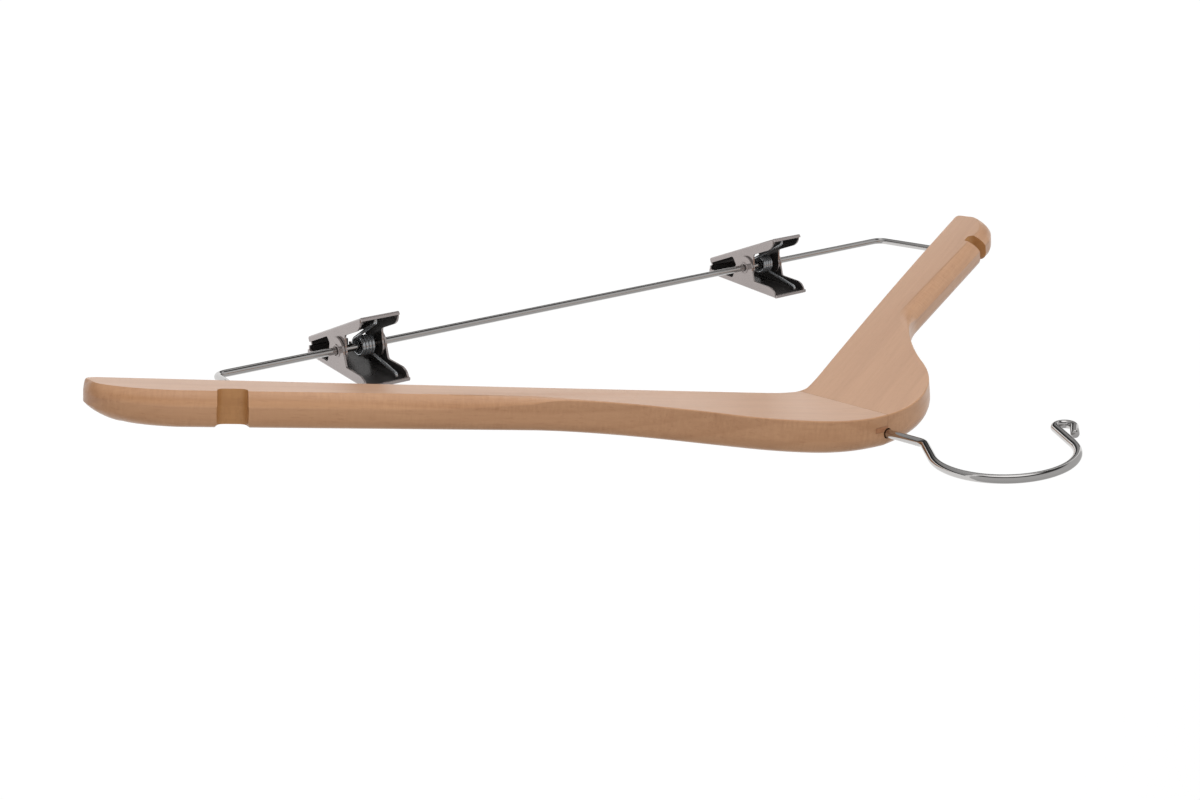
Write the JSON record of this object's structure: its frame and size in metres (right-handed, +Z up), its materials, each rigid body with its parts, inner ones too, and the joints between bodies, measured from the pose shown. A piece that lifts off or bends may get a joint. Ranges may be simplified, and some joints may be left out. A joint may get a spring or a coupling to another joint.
{
  "type": "clip hanger",
  "caption": "Contoured wooden clothes hanger with a swivelling wire hook, a wire trouser bar and spring clips that slide and swing on the bar to grip a skirt or trousers.",
  "frame": {"origin": "inside top of the hook's bow, where a rail carries the hanger", "axes": "+X to the right as seen from the front, +Y to the back, +Z up; the arms bow forward, towards -Y"},
  "size_m": [0.4499, 0.0462, 0.2485],
  "materials": {
    "wood": "clear satin lacquer",
    "chrome": "polished plating",
    "spring_steel": "bright zinc",
    "plain_steel": "plain"
  },
  "bodies": {
    "hook": {"hook": "chrome"},
    "arms": {"right_arm": "wood", "left_arm": "wood", "hook_washer": "plain_steel", "trouser_bar": "chrome"},
    "right_clip_core": {"right_clip_spring": "spring_steel"},
    "right_clip_front": {"right_clip_front_jaw": "chrome"},
    "right_clip_back": {"right_clip_back_jaw": "chrome"},
    "left_clip_core": {"left_clip_spring": "spring_steel"},
    "left_clip_front": {"left_clip_front_jaw": "chrome"},
    "left_clip_back": {"left_clip_back_jaw": "chrome"}
  },
  "joints": [
    {"name": "hook_swivel", "type": "hinge", "parent": "hook", "child": "arms", "pos_m": [0.00936, 0.00082, -0.0631], "axis": [0, 0, 1], "continuous": true},
    {"name": "right_clip_slide", "type": "slide", "parent": "arms", "child": "right_clip_core", "axis": [1, 0.0084, 0], "range_m": [-0.1049, 0.042]},
    {"name": "right_clip_swing", "type": "hinge", "parent": "right_clip_core", "child": "right_clip_front", "pos_m": [0.12426, -0.02254, -0.2208], "axis": [1, 0.0084, 0], "continuous": true, "deforming": ["right_clip_spring"]},
    {"name": "right_clip_open", "type": "hinge", "parent": "right_clip_front", "child": "right_clip_back", "pos_m": [0.12426, -0.02254, -0.2208], "axis": [1, 0.0084, 0], "range_deg": [0, 36], "stiffness_Nm_per_rad": 0.25, "springref_deg": -45.84, "deforming": ["right_clip_spring"]},
    {"name": "left_clip_slide", "type": "slide", "parent": "arms", "child": "left_clip_core", "axis": [1, 0.0084, 0], "range_m": [-0.0651, 0.0818]},
    {"name": "left_clip_swing", "type": "hinge", "parent": "left_clip_core", "child": "left_clip_front", "pos_m": [-0.08244, -0.02428, -0.2208], "axis": [1, 0.0084, 0], "continuous": true, "deforming": ["left_clip_spring"]},
    {"name": "left_clip_open", "type": "hinge", "parent": "left_clip_front", "child": "left_clip_back", "pos_m": [-0.08244, -0.02428, -0.2208], "axis": [1, 0.0084, 0], "range_deg": [0, 36], "stiffness_Nm_per_rad": 0.25, "springref_deg": -45.84, "deforming": ["left_clip_spring"]}
  ]
}
